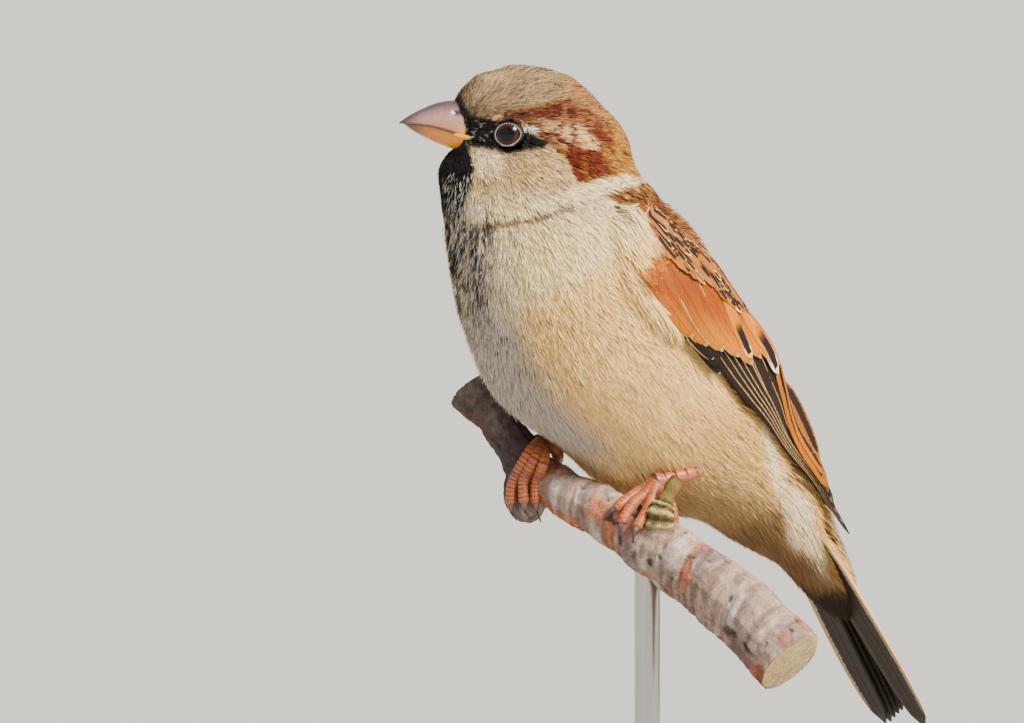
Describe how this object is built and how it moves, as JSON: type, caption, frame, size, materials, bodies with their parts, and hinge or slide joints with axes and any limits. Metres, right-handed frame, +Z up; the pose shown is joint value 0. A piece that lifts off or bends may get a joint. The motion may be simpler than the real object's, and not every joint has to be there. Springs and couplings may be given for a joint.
{
  "type": "house sparrow model",
  "caption": "Life-size still model of a male house sparrow gripping a cut length of branch, on a plain round display stand",
  "frame": {"origin": "centre of the stand base's underside", "axes": "+Z up; the bird's trunk faces -X and its left side is towards -Y; its head is turned to its right"},
  "size_m": [0.1126, 0.096, 0.1552],
  "materials": {
    "plumage": "soft overlapping body feathers, grey-beige below, grey crown, chestnut nape",
    "covert_feathers": "chestnut vanes with pale fringes",
    "flight_feathers": "dark brown vanes with buff edges",
    "eye": "wet, dark brown iris and black pupil",
    "bill_dark_horn": "purplish-grey horn, satin sheen",
    "bill_yellow_horn": "yellow horn fading to tan, satin sheen",
    "leg_scutes": "orange-pink scaled skin",
    "claw_horn": "dark horn",
    "bark": "grey-tan bark with rust patches and ring scars",
    "rod_steel": "satin steel",
    "base_wood": "dark stained, satin varnish"
  },
  "bodies": {
    "root": {"head": "plumage", "neck": "plumage", "trunk": "plumage", "tail": "flight_feathers", "wing_coverts_left": "covert_feathers", "wing_coverts_right": "covert_feathers", "wing_flight_left": "flight_feathers", "wing_flight_right": "flight_feathers", "eye_left": "eye", "eye_right": "eye", "bill_upper": "bill_dark_horn", "bill_lower": "bill_yellow_horn", "leg_left": "leg_scutes", "leg_right": "leg_scutes", "toe_middle_left": "leg_scutes", "toe_inner_left": "leg_scutes", "toe_outer_left": "leg_scutes", "toe_hind_left": "leg_scutes", "toe_middle_right": "leg_scutes", "toe_inner_right": "leg_scutes", "toe_outer_right": "leg_scutes", "toe_hind_right": "leg_scutes", "claw_middle_left": "claw_horn", "claw_inner_left": "claw_horn", "claw_outer_left": "claw_horn", "claw_hind_left": "claw_horn", "claw_middle_right": "claw_horn", "claw_inner_right": "claw_horn", "claw_outer_right": "claw_horn", "claw_hind_right": "claw_horn", "perch_branch": "bark", "stand_rod": "rod_steel", "stand_base": "base_wood"}
  },
  "joints": []
}
